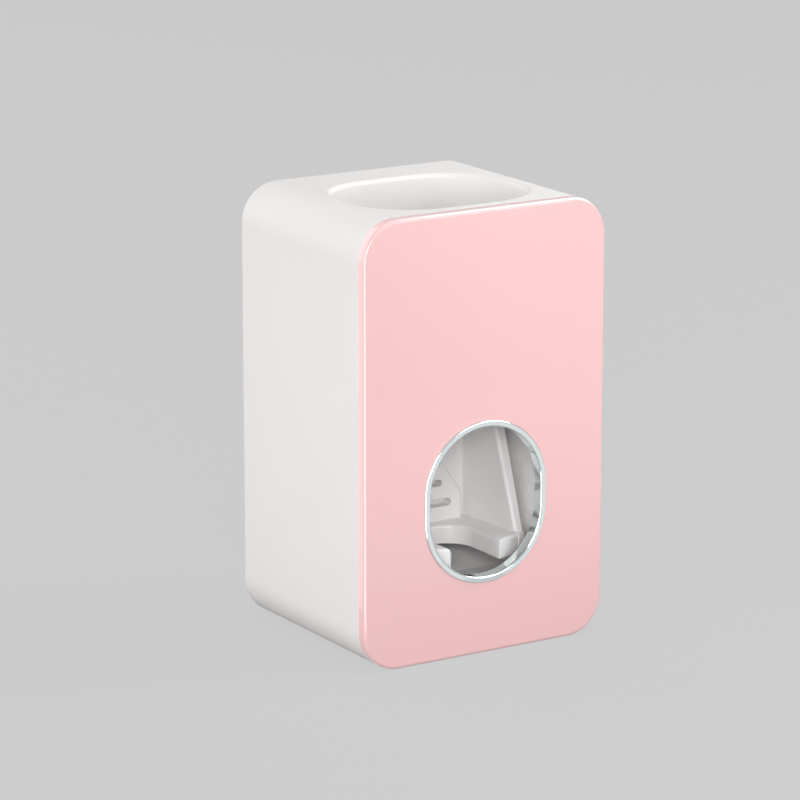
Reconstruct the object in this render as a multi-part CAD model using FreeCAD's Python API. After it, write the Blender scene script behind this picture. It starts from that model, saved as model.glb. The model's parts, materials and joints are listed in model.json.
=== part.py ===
"""Toothpaste dispenser: a rounded box that holds a tube upside down and doses paste on a pushed brush."""
import FreeCAD, Part
import math
import os

from FreeCAD import Vector

# Body, in millimetres. X is width, Y runs from the front to the back, Z is up.
body_width = 81.0
body_height = 130.0
body_depth = 69.0
corner_radius = 11.5
wall = 2.5
back_edge_radius = 2.0
seam_edge_radius = 0.4
back_recess_margin = 13.0
back_recess_depth = 0.8
overrun = 1.0
fit_gap = 0.1
loose_gap = 0.4

# Front panel
panel_thickness = 3.4
panel_edge_radius = 1.0
tab_length = 8.0
tab_width = 12.0
tab_thickness = 1.6
tab_bump = 0.7
tab_bump_length = 1.8
tab_end_margin = 35.0
tab_bottom_x = 20.0

# Window and its plated ring
window_drop = 20.0
ring_half_width = 20.5
ring_half_height = 23.8
ring_lip = 1.75
ring_lip_thickness = 1.0
ring_proud = 0.4
ring_edge_radius = 0.35
ring_mouth_radius = 0.55
barrel_wall = 1.1
barrel_tail = 0.6
retainer_sink = 0.8
retainer_rim = 2.8
retainer_gap = 0.02

# Tube well in the top of the body
well_front_land = 5.0
well_side_land = 0.1
well_half_depth = 22.1
well_end_flat = 3.5
well_rim_radius = 1.4
well_height_share = 0.66
collar_wall = 2.0

# Push lever: a scoop hung on a pin, with a fork above the pin that works the pump
lever_wall = 2.2
shelf_drop = 14.0
shelf_depth = 5.6
shelf_skin = 2.0
shelf_front_place = 5.5
shelf_edge_radius = 0.9
shelf_corner_setback = 3.4
notch_half_width = 8.4
notch_straight = 14.2
scoop_back_place = 34.5
cheek_back_half = 14.15
cheek_flare = 3.15
cheek_foot_place = 9.9
cheek_lean_setback = 9.5
cheek_lean_rise = 29.6
cheek_top_drop = 3.0
cheek_top_wall = 3.7
cheek_edge_radius = 1.2
scoop_corner_radius = 0.9
shelf_root_radius = 0.4
pad_raise = 2.6
pad_half_width = 12.7
pad_shoulder_rise = 8.0
pad_top_half_width = 3.2
pad_top_rise = 21.8
pad_edge_radius = 1.2
slot_depth = 3.6
low_slot_rise = 5.4
low_slot_half_length = 8.7
low_slot_half_height = 1.15
high_slot_rise = 11.4
high_slot_half_length = 5.6
high_slot_half_height = 1.0
pivot_rise = 24.0
pivot_setback = 3.6
hub_radius = 4.5
hub_end_gap = 0.3
ear_rim = 1.1
fork_gap = 0.6
fork_wall = 3.0
fork_half_width = 2.5
nose_radius = 2.5
nose_gap = 0.3

# Inner frame that carries the lever and the pump
floor_drop = 27.0
frame_floor_thickness = 2.0
frame_front_place = 6.0
frame_wall = 2.0
frame_cheek_gap = 0.5
frame_wall_rise = 8.0
frame_wall_front_radius = 6.0
frame_back_wall_rise = 40.0
guide_half_width = 4.0
guide_front_place = 24.3
guide_height = 5.2
slope_front_place = 22.5
slope_rise = 6.0
post_radius = 3.6
post_place_share = 0.52
post_front_place = 14.0
post_back_margin = 11.0
post_bite_share = 0.6
pilot_depth_share = 0.75
boss_radius = 3.2
boss_offset = 2.0
boss_clip_gap = 6.2
boss_height = 17.0

# Screws
screw_radius = 1.0
pump_screw_length = 10.0
screw_head_radius = 2.4
screw_head_height = 1.6
screw_slot_width = 0.7
screw_slot_depth = 0.8
pilot_gap = 0.05
screw_hole_gap = 0.3

# Lever pin and its clips
pin_radius = 1.5
pin_end_overhang = 2.5
pin_running_gap = 0.05
pin_seat_gap = 0.02
pin_groove_depth = 0.4
clip_radius = 3.4
clip_thickness = 0.8
clip_mouth = 2.0
clip_side_gap = 0.2
clip_groove_gap = 0.05

# Return spring behind the lever
spring_rise = 15.0
spring_space = 10.6
spring_mean_radius = 3.6
spring_wire_radius = 0.4
spring_turns = 5
spring_end_gap = 0.1
spring_boss_gap = 0.4
spring_boss_length = 3.0
spring_stub_length = 1.5

# Pump body
chamber_radius = 5.5
chamber_wall = 2.5
chamber_sink = 1.5
chamber_front_margin = 0.7
chamber_back_land = 3.8
neck_place_share = 0.7333
pump_flange_radius = 10.5
pump_flange_thickness = 2.0
column_wall = 2.4
column_rim = 3.5
column_rim_thickness = 2.0
pocket_web = 1.0
inlet_port_radius = 4.0
outlet_place = 21.5
outlet_radius = 4.0
outlet_wall = 2.0
outlet_drop = 18.0
wing_end_margin = 3.5
wing_half_depth = 5.0
wing_thickness = 2.5
wing_corner_radius = 3.0

# Silicone inlet seal and its flap valve
seal_bore_radius = 6.5
seal_wall = 2.0
seal_length = 10.0
seal_flange_rim = 2.3
seal_flange_thickness = 2.0
seal_lead_in = 1.0
seal_floor = 2.0
seal_orifice_radius = 4.2
valve_thickness = 1.0
valve_flap_radius = 4.6
valve_slit = 0.5
valve_hinge_angle = 70.0

# Bellows, its clamp ring and the plunger
bellows_length = 8.0
bellows_flange_thickness = 1.5
bellows_crest_radius = 8.0
bellows_root_radius = 6.2
bellows_skin = 1.0
bellows_folds = 2
bellows_cap_thickness = 1.0
clamp_wall = 1.4
clamp_lip = 1.5
clamp_lip_gap = 0.8
clamp_hook = 0.5
plunger_thickness = 2.0
plunger_skirt = 1.0
plunger_skirt_length = 1.2

# Outlet nozzle
cap_wall = 1.8
cap_nose = 4.5
cap_grip_length = 4.0
cap_mouth_gap = 0.3
duckbill_flange_thickness = 1.5
duckbill_radius = 4.0
duckbill_throat_length = 2.5
duckbill_tip_length = 3.2
duckbill_tip_half = 0.9
duckbill_wall = 0.8
duckbill_slit = 0.25

# Tube cradle below the well
cradle_wall = 2.0
cradle_rim_gap = 0.3
cradle_floor_land = 2.2
cradle_floor_flat = 1.0

# Planes of the body, from the front to the back
half_width = body_width / 2
half_height = body_height / 2
front_y = -(body_depth + ring_proud) / 2
panel_face_y = front_y + ring_proud
seam_y = panel_face_y + panel_thickness
back_y = panel_face_y + body_depth
inner_back_y = back_y - wall


def behind_face(distance):
    """Y of a place given as a distance behind the panel's face."""
    return panel_face_y + distance


# Window, lever and frame, from the window's centre
window_z = half_height - window_drop
bore_half_width = ring_half_width - ring_lip
bore_half_height = ring_half_height - ring_lip
barrel_half_width = bore_half_width + barrel_wall
barrel_half_height = bore_half_height + barrel_wall
retainer_y = seam_y - retainer_sink
retainer_back_y = retainer_y + barrel_tail
shelf_z = window_z - shelf_drop
shelf_bottom_z = shelf_z - shelf_depth
scoop_back_y = behind_face(scoop_back_place)
lever_back_y = scoop_back_y + lever_wall
notch_centre_y = behind_face(shelf_front_place + notch_straight)
pivot_y = lever_back_y + pivot_setback
pivot_z = window_z + pivot_rise
ear_radius = hub_radius + ear_rim
cheek_top_z = pivot_z - cheek_top_drop
frame_floor_z = window_z - floor_drop
frame_floor_bottom_z = frame_floor_z - frame_floor_thickness
frame_wall_x = cheek_back_half + cheek_flare + cheek_top_wall + frame_cheek_gap
frame_side_x = frame_wall_x + frame_wall
post_x = frame_side_x + post_place_share * (half_width - wall - frame_side_x)
post_height = frame_floor_bottom_z - wall
frame_screw_length = frame_floor_thickness + post_bite_share * post_height
pilot_floor_z = frame_floor_bottom_z - pilot_depth_share * post_height
frame_top_z = pivot_z + frame_wall_rise
frame_back_wall_y = lever_back_y + spring_space
frame_end_y = frame_back_wall_y + frame_wall
spring_z = shelf_z + spring_rise
spring_boss_radius = spring_mean_radius - spring_wire_radius - spring_boss_gap

# Well, tube neck and pump, from the neck's axis
well_half_width = half_width - corner_radius - well_side_land - well_rim_radius
well_corner_radius = well_half_depth - well_end_flat
well_y = seam_y + well_front_land + well_half_depth
outlet_y = behind_face(outlet_place)
chamber_outer_radius = chamber_radius + chamber_wall
chamber_z = frame_top_z + wing_thickness + chamber_outer_radius - chamber_sink
chamber_front_y = outlet_y - outlet_radius - chamber_front_margin
outlet_bottom_z = chamber_z - outlet_drop
seal_radius = seal_bore_radius + seal_wall
seal_flange_radius = seal_radius + seal_flange_rim
column_radius = seal_radius + fit_gap + column_wall
chamber_reach = column_radius + chamber_back_land
bellows_reach = bellows_flange_thickness + bellows_length + plunger_thickness
neck_front_y = seam_y + seal_flange_radius + cradle_floor_land + cradle_wall
neck_back_y = inner_back_y - chamber_reach - bellows_reach - nose_gap - 2 * nose_radius
neck_y = neck_front_y + neck_place_share * (neck_back_y - neck_front_y)
chamber_back_y = neck_y + chamber_reach
pocket_floor_z = chamber_z + chamber_radius + pocket_web
valve_top_z = pocket_floor_z + valve_thickness
column_top_z = valve_top_z + seal_length
seal_top_z = column_top_z + seal_flange_thickness
collar_bottom_z = body_height - well_height_share * (body_height - seal_top_z)
boss_x = frame_side_x + boss_offset
boss_y = pivot_y - clip_radius - boss_clip_gap - boss_radius
wing_top_z = frame_top_z + wing_thickness
bellows_y = chamber_back_y + bellows_flange_thickness
bellows_end_y = bellows_y + bellows_length
plunger_back_y = bellows_end_y + plunger_thickness
nose_y = plunger_back_y + nose_gap + nose_radius
clamp_inner_radius = pump_flange_radius + fit_gap
clamp_outer_radius = clamp_inner_radius + clamp_wall
fork_inner_x = clamp_outer_radius + fork_gap

side_signs = (-1, 1)
x_axis = Vector(1, 0, 0)
y_axis = Vector(0, 1, 0)
z_axis = Vector(0, 0, 1)


def rounded_outline(half_u, half_v, radius, place):
    """Closed wire of a rounded rectangle, set in space by place(u, v)."""
    u = half_u - radius
    v = half_v - radius
    bulge = radius * math.sqrt(0.5)
    arcs = [
        ((u + radius, v), (u + bulge, v + bulge), (u, v + radius)),
        ((-u, v + radius), (-u - bulge, v + bulge), (-u - radius, v)),
        ((-u - radius, -v), (-u - bulge, -v - bulge), (-u, -v - radius)),
        ((u, -v - radius), (u + bulge, -v - bulge), (u + radius, -v)),
    ]
    edges = []
    for index, arc in enumerate(arcs):
        start, middle, end = [place(*point) for point in arc]
        edges.append(Part.Arc(start, middle, end).toShape())
        following = place(*arcs[(index + 1) % len(arcs)][0])
        if not end.isEqual(following, radius / 10000):
            edges.append(Part.makeLine(end, following))
    return Part.Wire(edges)


def upright_prism(half_x, half_z, radius, centre_z, y_from, y_to):
    """Rounded rectangle seen from the front, run from y_from to y_to."""
    wire = rounded_outline(half_x, half_z, radius, lambda u, v: Vector(u, y_from, centre_z + v))
    return Part.Face(wire).extrude(y_axis * (y_to - y_from))


def flat_outline(half_x, half_y, radius, centre_y, z):
    """Rounded rectangle seen from above, at one height."""
    return rounded_outline(half_x, half_y, radius, lambda u, v: Vector(u, centre_y + v, z))


def flat_prism(half_x, half_y, radius, centre_y, z_from, z_to):
    """Rounded rectangle seen from above, run from z_from to z_to."""
    wire = flat_outline(half_x, half_y, radius, centre_y, z_from)
    return Part.Face(wire).extrude(z_axis * (z_to - z_from))


def box(x_from, x_to, y_from, y_to, z_from, z_to):
    """Block between two corners."""
    corner = Vector(x_from, y_from, z_from)
    return Part.makeBox(x_to - x_from, y_to - y_from, z_to - z_from, corner)


def mirrored_boxes(x_from, x_to, y_from, y_to, z_from, z_to):
    """The same block on the left and on the right."""
    right = box(x_from, x_to, y_from, y_to, z_from, z_to)
    left = box(-x_to, -x_from, y_from, y_to, z_from, z_to)
    return right.fuse(left)


def polygon_prism(points, run):
    """Straight-sided outline run along a vector."""
    return Part.Face(Part.makePolygon(points + points[:1])).extrude(run)


def plan_outline(points, z):
    """Straight-sided outline of (x, y) points at one height."""
    corners = [Vector(x, y, z) for x, y in points]
    return Part.makePolygon(corners + corners[:1])


def plan_prism(points, z_from, z_to):
    """Outline of (x, y) points run from z_from to z_to."""
    return Part.Face(plan_outline(points, z_from)).extrude(z_axis * (z_to - z_from))


def side_prism(points, x_from, x_to):
    """Outline of (y, z) points run from x_from to x_to."""
    return polygon_prism([Vector(x_from, y, z) for y, z in points], x_axis * (x_to - x_from))


def front_prism(points, y_from, y_to):
    """Outline of (x, z) points run from y_from to y_to."""
    return polygon_prism([Vector(x, y_from, z) for x, z in points], y_axis * (y_to - y_from))


def rod(radius, start, direction, length):
    """Cylinder from a point along a direction."""
    return Part.makeCylinder(radius, length, start, direction)


def upright_turning(points, x, y):
    """Profile of (radius, z) points turned about a vertical axis."""
    outline = [Vector(x + radius, y, z) for radius, z in points]
    return Part.Face(Part.makePolygon(outline + outline[:1])).revolve(Vector(x, y, 0), z_axis, 360)


def level_turning(points, z):
    """Profile of (radius, y) points turned about a front-to-back axis at x zero."""
    outline = [Vector(radius, y, z) for radius, y in points]
    return Part.Face(Part.makePolygon(outline + outline[:1])).revolve(Vector(0, 0, z), y_axis, 360)


def edges_inside(shape, x_half, y_from, y_to, z_from, z_to):
    """Edges of a shape that lie wholly within a block centred on x zero."""
    slack = fit_gap / 10
    found = []
    for edge in shape.Edges:
        b = edge.BoundBox
        in_x = b.XMin > -x_half - slack and b.XMax < x_half + slack
        in_y = b.YMin > y_from - slack and b.YMax < y_to + slack
        in_z = b.ZMin > z_from - slack and b.ZMax < z_to + slack
        if in_x and in_y and in_z:
            found.append(edge)
    return found


def mirrored_copy(shape):
    """Left-hand copy of a right-hand piece."""
    return shape.mirror(Vector(0, 0, 0), x_axis)


def tab_places():
    """Panel tabs as (x, z) of the wall that each one lies on, with its outward direction."""
    places = []
    for x_sign in side_signs:
        for z in (tab_end_margin, body_height - tab_end_margin):
            places.append((x_sign * (half_width - wall), z, Vector(x_sign, 0, 0)))
        places.append((x_sign * tab_bottom_x, wall, Vector(0, 0, -1)))
    return places


def tab_block(x, z, outward, from_wall, to_wall, y_from, y_to, half_length):
    """Block on a shell wall: from_wall and to_wall are measured outwards from the wall's inner face."""
    along = Vector(outward.z, 0, outward.x)
    near = Vector(x, y_from, z) + outward * from_wall - along * half_length
    far = Vector(x, y_to, z) + outward * to_wall + along * half_length
    low = [min(a, b) for a, b in zip(near, far)]
    high = [max(a, b) for a, b in zip(near, far)]
    return box(low[0], high[0], low[1], high[1], low[2], high[2])


def screw_post_places():
    """The four posts in the body's floor that carry the frame."""
    rows = (behind_face(post_front_place), back_y - post_back_margin)
    return [(x_sign * post_x, y) for x_sign in side_signs for y in rows]


def housing_shell():
    """Moulded sleeve with a closed back, an open front and the oval tube well in its top."""
    shell = upright_prism(half_width, half_height, corner_radius, half_height, seam_y, back_y)
    back_edges = edges_inside(shell, half_width, back_y, back_y, 0, body_height)
    shell = shell.makeFillet(back_edge_radius, back_edges)
    front_edges = edges_inside(shell, half_width, seam_y, seam_y, 0, body_height)
    shell = shell.makeFillet(seam_edge_radius, front_edges)
    cavity = upright_prism(half_width - wall, half_height - wall, corner_radius - wall, half_height,
                           seam_y - overrun, inner_back_y)
    shell = shell.cut(cavity)
    collar = flat_prism(well_half_width + collar_wall, well_half_depth + collar_wall,
                        well_corner_radius + collar_wall, well_y, collar_bottom_z, body_height - wall / 2)
    shell = shell.fuse(collar)
    well = flat_prism(well_half_width, well_half_depth, well_corner_radius, well_y,
                      collar_bottom_z - overrun, body_height + overrun)
    shell = shell.cut(well)
    rim = edges_inside(shell, well_half_width, well_y - well_half_depth, well_y + well_half_depth,
                       body_height, body_height)
    shell = shell.makeFillet(well_rim_radius, rim)
    for x, y in screw_post_places():
        post = rod(post_radius, Vector(x, y, wall / 2), z_axis, frame_floor_bottom_z - wall / 2)
        shell = shell.fuse(post)
    for x, y in screw_post_places():
        pilot = rod(screw_radius + pilot_gap, Vector(x, y, pilot_floor_z), z_axis,
                    frame_floor_bottom_z - pilot_floor_z + overrun)
        shell = shell.cut(pilot)
    bump_y = seam_y + tab_length - tab_bump_length
    for x, z, outward in tab_places():
        pocket = tab_block(x, z, outward, -fit_gap, tab_bump + fit_gap, bump_y - fit_gap,
                           bump_y + tab_bump_length + fit_gap, tab_width / 2 + fit_gap)
        shell = shell.cut(pocket)
    recess = upright_prism(half_width - back_recess_margin, half_height - back_recess_margin, corner_radius,
                           half_height, back_y - back_recess_depth, back_y + overrun)
    return shell.cut(recess).removeSplitter()


def front_panel():
    """Glossy cover with the window hole, a seat for the ring, a pocket for its clip and snap tabs behind."""
    panel = upright_prism(half_width, half_height, corner_radius, half_height, panel_face_y, seam_y)
    face_edges = edges_inside(panel, half_width, panel_face_y, panel_face_y, 0, body_height)
    panel = panel.makeFillet(panel_edge_radius, face_edges)
    hole_half_width = barrel_half_width + fit_gap
    hole = upright_prism(hole_half_width, barrel_half_height + fit_gap, hole_half_width, window_z,
                         panel_face_y - overrun, seam_y + overrun)
    seat_half_width = ring_half_width + fit_gap
    seat = upright_prism(seat_half_width, ring_half_height + fit_gap, seat_half_width, window_z,
                         panel_face_y - overrun, panel_face_y + ring_lip_thickness - ring_proud)
    pocket_rim = retainer_rim + loose_gap
    pocket_half_width = barrel_half_width + pocket_rim
    pocket = upright_prism(pocket_half_width, barrel_half_height + pocket_rim, pocket_half_width, window_z,
                           retainer_y, seam_y + overrun)
    panel = panel.cut(hole).cut(seat).cut(pocket)
    bump_y = seam_y + tab_length - tab_bump_length
    for x, z, outward in tab_places():
        tab = tab_block(x, z, outward, -fit_gap - tab_thickness, -fit_gap, seam_y - panel_thickness / 2,
                        seam_y + tab_length, tab_width / 2)
        bump = tab_block(x, z, outward, -fit_gap - tab_thickness / 2, tab_bump, bump_y,
                         bump_y + tab_bump_length, tab_width / 2)
        panel = panel.fuse(tab).fuse(bump)
    return panel.removeSplitter()


def window_ring():
    """Plated oval ring: a thin lip on the panel's face and a barrel through the window."""
    lip = upright_prism(ring_half_width, ring_half_height, ring_half_width, window_z,
                        front_y, front_y + ring_lip_thickness)
    lip_edges = edges_inside(lip, ring_half_width, front_y, front_y, 0, body_height)
    lip = lip.makeFillet(ring_edge_radius, lip_edges)
    barrel = upright_prism(barrel_half_width, barrel_half_height, barrel_half_width, window_z,
                           front_y + ring_lip_thickness / 2, retainer_back_y)
    bore = upright_prism(bore_half_width, bore_half_height, bore_half_width, window_z,
                         front_y - overrun, retainer_back_y + overrun)
    ring = lip.fuse(barrel).cut(bore).removeSplitter()
    mouth = edges_inside(ring, bore_half_width, front_y, front_y, 0, body_height)
    return ring.makeFillet(ring_mouth_radius, mouth)


def ring_retainer():
    """Flat push-on clip that holds the ring from behind the panel."""
    outer_half_width = barrel_half_width + retainer_rim
    plate = upright_prism(outer_half_width, barrel_half_height + retainer_rim, outer_half_width, window_z,
                          retainer_y, retainer_back_y)
    hole_half_width = barrel_half_width + retainer_gap
    hole = upright_prism(hole_half_width, barrel_half_height + retainer_gap, hole_half_width, window_z,
                         retainer_y - overrun, retainer_back_y + overrun)
    return plate.cut(hole)


def inner_frame():
    """Tray with walls for the lever pin, a back wall, a guide rib on a slope and bosses for the pump."""
    front = behind_face(frame_front_place)
    tray_half = half_width - wall - loose_gap
    tray = box(-tray_half, tray_half, front, inner_back_y - loose_gap, frame_floor_bottom_z, frame_floor_z)
    walls = mirrored_boxes(frame_wall_x, frame_side_x, front, frame_end_y, frame_floor_bottom_z, frame_top_z)
    top_corners = [edge for edge in edges_inside(walls, frame_side_x, front, front, frame_top_z, frame_top_z)
                   if edge.BoundBox.XLength > frame_wall / 2]
    walls = walls.makeFillet(frame_wall_front_radius, top_corners)
    back = box(-frame_side_x, frame_side_x, frame_back_wall_y, frame_end_y,
               frame_floor_bottom_z, frame_floor_z + frame_back_wall_rise)
    guide = box(-guide_half_width, guide_half_width, behind_face(guide_front_place), frame_end_y,
                frame_floor_bottom_z, frame_floor_z + guide_height)
    spring_boss = rod(spring_boss_radius, Vector(0, frame_end_y, spring_z), -y_axis,
                      spring_boss_length + frame_wall)
    slope_front_y = behind_face(slope_front_place)
    slope = side_prism([(slope_front_y, frame_floor_z), (frame_back_wall_y, frame_floor_z),
                        (frame_back_wall_y, frame_floor_z + slope_rise)], -frame_wall_x, frame_wall_x)
    frame = tray.fuse([walls, back, guide, slope, spring_boss])
    for x_sign in side_signs:
        foot = Vector(x_sign * boss_x, boss_y, frame_top_z - boss_height)
        frame = frame.fuse(rod(boss_radius, foot, z_axis, boss_height))
    for x_sign in side_signs:
        foot = Vector(x_sign * boss_x, boss_y, frame_top_z - pump_screw_length)
        frame = frame.cut(rod(screw_radius + pilot_gap, foot, z_axis, pump_screw_length + overrun))
    for x, y in screw_post_places():
        hole = rod(screw_radius + screw_hole_gap, Vector(x, y, frame_floor_bottom_z - overrun), z_axis,
                   frame_floor_thickness + 2 * overrun)
        frame = frame.cut(hole)
    pin_hole = rod(pin_radius + pin_seat_gap, Vector(-frame_side_x - overrun, pivot_y, pivot_z), x_axis,
                   2 * (frame_side_x + overrun))
    return frame.cut(pin_hole).removeSplitter()


def screws(places, seat_z, length):
    """Slotted pan-head screws driven down at (x, y) places."""
    made = []
    for x, y in places:
        shank = rod(screw_radius, Vector(x, y, seat_z - length), z_axis, length)
        head = rod(screw_head_radius, Vector(x, y, seat_z), z_axis, screw_head_height)
        head_top_z = seat_z + screw_head_height
        slot_half = screw_slot_width / 2
        slot = box(x - screw_head_radius, x + screw_head_radius, y - slot_half, y + slot_half,
                   head_top_z - screw_slot_depth, head_top_z + overrun)
        made.append(shank.fuse(head).cut(slot).removeSplitter())
    return Part.makeCompound(made)


def cheek_half_at(place):
    """Half width between the scoop's cheeks at a distance behind the panel's face."""
    run_share = (scoop_back_place - place) / (scoop_back_place - shelf_front_place)
    return cheek_back_half + cheek_flare * run_share


def scoop_plan(back_place, front_place, grow, front_corner_place):
    """Plan of the scoop as (x, y) points, grown sideways; its front corners are set back."""
    back_half = cheek_half_at(back_place) + grow
    corner_half = cheek_half_at(front_corner_place) + grow
    back = behind_face(back_place)
    corner = behind_face(front_corner_place)
    front = behind_face(front_place)
    return [(-back_half, back), (-corner_half, corner), (-notch_half_width, front),
            (notch_half_width, front), (corner_half, corner), (back_half, back)]


def notch_block(grow, z_from, z_to):
    """The slot that is open to the front of the shelf and round at its back end."""
    half = notch_half_width + grow
    slot = box(-half, half, panel_face_y - overrun, notch_centre_y, z_from, z_to)
    return slot.fuse(rod(half, Vector(0, notch_centre_y, z_from), z_axis, z_to - z_from))


def cheek_line_y(z):
    """Y of the cheeks' leaning front edge at a height."""
    return behind_face(cheek_foot_place + cheek_lean_setback * (z - shelf_z) / cheek_lean_rise)


def cheek_profile():
    """Side outline of the cheeks: shelf end, leaning front edge, round ear about the pin, straight back."""
    shelf_front = behind_face(shelf_front_place)
    ear_top = Vector(0, pivot_y, pivot_z + ear_radius)
    ear_back = Vector(0, pivot_y + ear_radius, pivot_z)
    ear_bottom = Vector(0, pivot_y, pivot_z - ear_radius)
    corners = [(lever_back_y, pivot_z - 2 * ear_radius), (lever_back_y, shelf_bottom_z),
               (shelf_front, shelf_bottom_z), (shelf_front, shelf_z),
               (cheek_line_y(shelf_z), shelf_z), (cheek_line_y(cheek_top_z), cheek_top_z)]
    points = [ear_bottom] + [Vector(0, y, z) for y, z in corners] + [ear_top]
    edges = [Part.makeLine(points[i], points[i + 1]) for i in range(len(points) - 1)]
    edges.append(Part.Arc(ear_top, ear_back, ear_bottom).toShape())
    return Part.Face(Part.Wire(edges))


def scoop_cheeks():
    """The two flared side walls with their ears, thicker above, the inner front edges rounded."""
    ear_end_place = scoop_back_place + pivot_y + 2 * ear_radius - scoop_back_y
    corner_place = shelf_front_place + shelf_corner_setback
    top_z = pivot_z + 2 * ear_radius
    lower_plan = scoop_plan(ear_end_place, shelf_front_place, lever_wall, corner_place)
    upper_plan = scoop_plan(ear_end_place, shelf_front_place, cheek_top_wall, corner_place)
    inner_plan = scoop_plan(ear_end_place + overrun, 0, 0, 0)
    outlines = [plan_outline(lower_plan, shelf_bottom_z), plan_outline(upper_plan, top_z)]
    walls = Part.makeLoft(outlines, True, True)
    walls = walls.cut(plan_prism(inner_plan, shelf_bottom_z - overrun, top_z + overrun))
    profile = cheek_profile()
    profile.translate(x_axis * -half_width)
    cheeks = walls.common(profile.extrude(x_axis * body_width))
    foot_half = cheek_half_at(cheek_foot_place)
    fronts = [edge for edge in edges_inside(cheeks, foot_half, front_y, scoop_back_y, shelf_z, cheek_top_z)
              if edge.BoundBox.ZLength > lever_wall]
    return cheeks.makeFillet(cheek_edge_radius, fronts)


def scoop_corners(scoop):
    """Upright inner corners where the cheeks meet the back."""
    half = cheek_half_at(scoop_back_place)
    upright = edges_inside(scoop, half, scoop_back_y, scoop_back_y, shelf_z, pivot_z)
    return [edge for edge in upright if edge.BoundBox.ZLength > half]


def scoop_shell():
    """Cheeks, notched shelf and back of the lever."""
    lever_back_place = scoop_back_place + lever_wall
    corner_place = shelf_front_place + shelf_corner_setback
    shelf = plan_prism(scoop_plan(lever_back_place, shelf_front_place, lever_wall / 2, corner_place),
                       shelf_bottom_z, shelf_z)
    shelf = shelf.cut(notch_block(0, shelf_bottom_z - overrun, shelf_z + overrun))
    front = behind_face(shelf_front_place)
    notch_end = notch_centre_y + notch_half_width
    rim = edges_inside(shelf, half_width, front, notch_end, shelf_z, shelf_z)
    shelf = shelf.makeFillet(shelf_edge_radius, rim)
    core_plan = scoop_plan(scoop_back_place, shelf_front_place + lever_wall, 0, corner_place + lever_wall)
    core = plan_prism(core_plan, shelf_bottom_z - overrun, shelf_z - shelf_skin)
    core = core.cut(notch_block(lever_wall, shelf_bottom_z - 2 * overrun, shelf_z))
    shelf = shelf.cut(core)
    back_half = cheek_half_at(scoop_back_place) + lever_wall / 2
    back = box(-back_half, back_half, scoop_back_y, lever_back_y, shelf_bottom_z, pivot_z - ear_radius)
    scoop = scoop_cheeks().fuse([shelf, back]).removeSplitter()
    return scoop.makeFillet(scoop_corner_radius, scoop_corners(scoop))


def push_pad():
    """Raised plate that the brush head pushes: straight below, narrowing above."""
    shoulder_z = shelf_z + pad_shoulder_rise
    top_z = shelf_z + pad_top_rise
    outline = [(-pad_half_width, shelf_z), (pad_half_width, shelf_z), (pad_half_width, shoulder_z),
               (pad_top_half_width, top_z), (-pad_top_half_width, top_z), (-pad_half_width, shoulder_z)]
    pad_y = scoop_back_y - pad_raise
    pad = front_prism(outline, pad_y, scoop_back_y + lever_wall / 2)
    rim = [edge for edge in edges_inside(pad, pad_half_width, pad_y, pad_y, shelf_z, top_z)
           if edge.BoundBox.ZMax > shelf_z + pad_edge_radius]
    return pad.makeFillet(pad_edge_radius, rim)


def pad_slot(half_length, half_height, rise):
    """Grip slot across the pad with round ends."""
    pad_y = scoop_back_y - pad_raise
    return upright_prism(half_length, half_height, half_height, shelf_z + rise,
                         pad_y - overrun, pad_y + slot_depth)


def lever_fork():
    """Two arms behind the pin and the bar across them that presses the plunger."""
    run = Vector(0, nose_y - pivot_y, chamber_z - pivot_z)
    across = Vector(0, run.z, -run.y)
    across.normalize()
    foot = Vector(0, pivot_y, pivot_z)
    top = foot + run
    corners = [foot + across * fork_half_width, top + across * fork_half_width,
               top - across * fork_half_width, foot - across * fork_half_width]
    outline = [(corner.y, corner.z) for corner in corners]
    fork_outer_x = fork_inner_x + fork_wall
    right = side_prism(outline, fork_inner_x, fork_outer_x)
    bar = rod(nose_radius, Vector(-fork_outer_x, nose_y, chamber_z), x_axis, 2 * fork_outer_x)
    return right.fuse(mirrored_copy(right)).fuse(bar)


def push_lever():
    """One moulding: scoop, pad, hub, fork and the stub that centres the return spring."""
    hub_half = frame_wall_x - hub_end_gap
    hub = rod(hub_radius, Vector(-hub_half, pivot_y, pivot_z), x_axis, 2 * hub_half)
    stub = rod(spring_boss_radius, Vector(0, scoop_back_y + lever_wall / 2, spring_z), y_axis,
               spring_stub_length + lever_wall / 2)
    lever = scoop_shell().fuse([push_pad(), hub, lever_fork(), stub])
    lever = lever.cut(pad_slot(low_slot_half_length, low_slot_half_height, low_slot_rise))
    lever = lever.cut(pad_slot(high_slot_half_length, high_slot_half_height, high_slot_rise))
    bore = rod(pin_radius + pin_running_gap, Vector(-hub_half - overrun, pivot_y, pivot_z), x_axis,
               2 * (hub_half + overrun))
    lever = lever.cut(bore).removeSplitter()
    shelf_root = edges_inside(lever, cheek_back_half + scoop_corner_radius, scoop_back_y - pad_raise,
                              scoop_back_y, shelf_z, shelf_z)
    return lever.makeFillet(shelf_root_radius, shelf_root)


def clip_inner_x():
    """Inner face of the right-hand clip."""
    return frame_side_x + clip_side_gap


def lever_pin():
    """Steel pin across the frame with a groove near each end."""
    half_length = frame_side_x + pin_end_overhang
    pin = rod(pin_radius, Vector(-half_length, pivot_y, pivot_z), x_axis, 2 * half_length)
    start = clip_inner_x() - clip_groove_gap
    groove_width = clip_thickness + 2 * clip_groove_gap
    sleeve = rod(pin_radius + overrun, Vector(start, pivot_y, pivot_z), x_axis, groove_width)
    sleeve = sleeve.cut(rod(pin_radius - pin_groove_depth, Vector(start - overrun, pivot_y, pivot_z), x_axis,
                            groove_width + 2 * overrun))
    return pin.cut(sleeve).cut(mirrored_copy(sleeve))


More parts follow.
